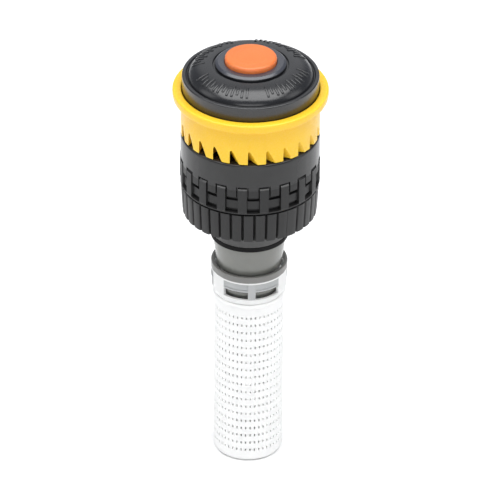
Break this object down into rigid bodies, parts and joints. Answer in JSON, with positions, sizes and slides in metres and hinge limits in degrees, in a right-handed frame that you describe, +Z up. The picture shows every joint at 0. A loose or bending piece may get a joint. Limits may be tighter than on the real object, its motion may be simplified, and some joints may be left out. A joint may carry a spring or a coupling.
{
  "type": "rotary sprinkler nozzle",
  "caption": "Rotary spray nozzle for a pop-up sprinkler riser: turning deflector on a sprung shaft, radius ring, knurled threaded base and a pull-off filter screen.",
  "frame": {"origin": "centre of the flat bottom of the filter screen", "axes": "+Z up along the nozzle's own axis, from the filter to the cap; -Y is the front"},
  "size_m": [0.027, 0.027, 0.0799],
  "materials": {
    "orange_plastic": "satin moulded plastic",
    "gloss_black_plastic": "glossy moulded plastic",
    "matte_black_plastic": "satin moulded plastic",
    "yellow_plastic": "satin moulded plastic",
    "grey_plastic": "satin moulded plastic",
    "red_plastic": "moulded plastic",
    "works_plastic": "moulded plastic",
    "bearing_plastic": "moulded acetal",
    "brake_lining": "pressed friction lining",
    "steel": "drawn stainless steel",
    "seal_rubber": "moulded rubber",
    "natural_plastic": "translucent natural polypropylene"
  },
  "bodies": {
    "body": {"nozzle_cover": "matte_black_plastic", "cover_oring": "seal_rubber", "nozzle_base": "matte_black_plastic", "base_oring": "seal_rubber", "inlet": "grey_plastic", "neck_gasket": "seal_rubber"},
    "shaft": {"shaft": "steel", "brake_pad": "brake_lining", "brake_plate": "works_plastic", "top_clip": "steel", "spring_washer": "steel", "bottom_clip": "steel", "return_spring": "steel"},
    "head": {"color_button": "orange_plastic", "cap": "gloss_black_plastic", "cap_seal": "seal_rubber", "deflector": "yellow_plastic", "hub_bushing": "bearing_plastic", "shaft_seal": "seal_rubber", "brake_disk": "works_plastic"},
    "sleeve": {"valve_sleeve": "red_plastic"},
    "ring": {"radius_ring": "matte_black_plastic"},
    "nut": {"throttle_nut": "works_plastic"},
    "filter": {"filter_collar": "natural_plastic", "filter_screen": "natural_plastic"}
  },
  "joints": [
    {"name": "head_lift", "type": "slide", "parent": "body", "child": "shaft", "axis": [0, 0, 1], "range_m": [0, 0.0045], "stiffness_N_per_m": 300, "springref_m": -0.003, "deforming": ["return_spring"]},
    {"name": "head_spin", "type": "hinge", "parent": "shaft", "child": "head", "pos_m": [0, 0, 0.07], "axis": [0, 0, 1], "continuous": true},
    {"name": "arc_turn", "type": "hinge", "parent": "body", "child": "sleeve", "pos_m": [0, 0, 0.06], "axis": [0, 0, 1], "range_deg": [0, 180]},
    {"name": "radius_turn", "type": "hinge", "parent": "body", "child": "ring", "pos_m": [0, 0, 0.06], "axis": [0, 0, 1], "range_deg": [0, 270]},
    {"name": "throttle_travel", "type": "slide", "parent": "ring", "child": "nut", "axis": [0, 0, 1], "range_m": [-0.0011, 0]},
    {"name": "filter_pull", "type": "slide", "parent": "body", "child": "filter", "axis": [0, 0, -1], "range_m": [0, 0.012]}
  ],
  "couplings": [
    {"joint": "throttle_travel", "follows": "radius_turn", "m_per_rad": -0.00023}
  ]
}
